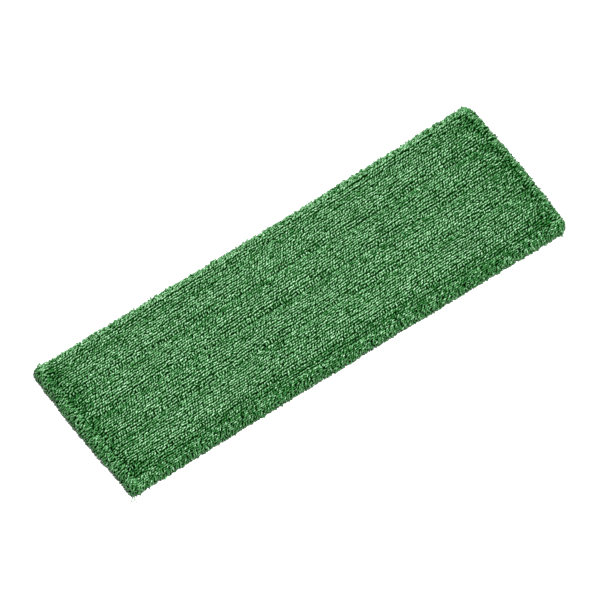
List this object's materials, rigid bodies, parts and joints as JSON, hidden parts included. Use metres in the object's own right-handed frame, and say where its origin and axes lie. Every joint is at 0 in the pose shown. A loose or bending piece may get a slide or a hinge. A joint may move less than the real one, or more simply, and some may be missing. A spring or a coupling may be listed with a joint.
{
  "type": "flat mop pad",
  "caption": "Rectangular quilted flat mop pad with a looped microfibre pile face, a hook-and-loop back and a folded blank care label.",
  "frame": {"origin": "centre of the pad's flat back, on the face that meets the mop plate", "axes": "+X along the pad's length, +Y across its width, +Z from the back towards the pile"},
  "size_m": [0.42, 0.136, 0.013],
  "materials": {
    "pile": "matte",
    "felt": "matte",
    "backing": "matte",
    "thread": "satin",
    "label": "satin"
  },
  "bodies": {
    "pad": {"pile_cloth": "pile", "absorbent_core": "felt", "loop_backing": "backing", "border_needle_thread": "thread", "border_bobbin_thread": "thread", "quilt_needle_thread_1": "thread", "quilt_bobbin_thread_1": "thread", "quilt_needle_thread_2": "thread", "quilt_bobbin_thread_2": "thread", "quilt_needle_thread_3": "thread", "quilt_bobbin_thread_3": "thread", "overlock_upper_thread": "thread", "overlock_lower_thread": "thread", "overlock_needle_thread": "thread"},
    "label": {"care_label": "label"}
  },
  "joints": [
    {"name": "label_swing", "type": "hinge", "parent": "pad", "child": "label", "pos_m": [0.2035, -0.02, 0.00022], "axis": [0, -1, 0], "range_deg": [0, 183]}
  ]
}
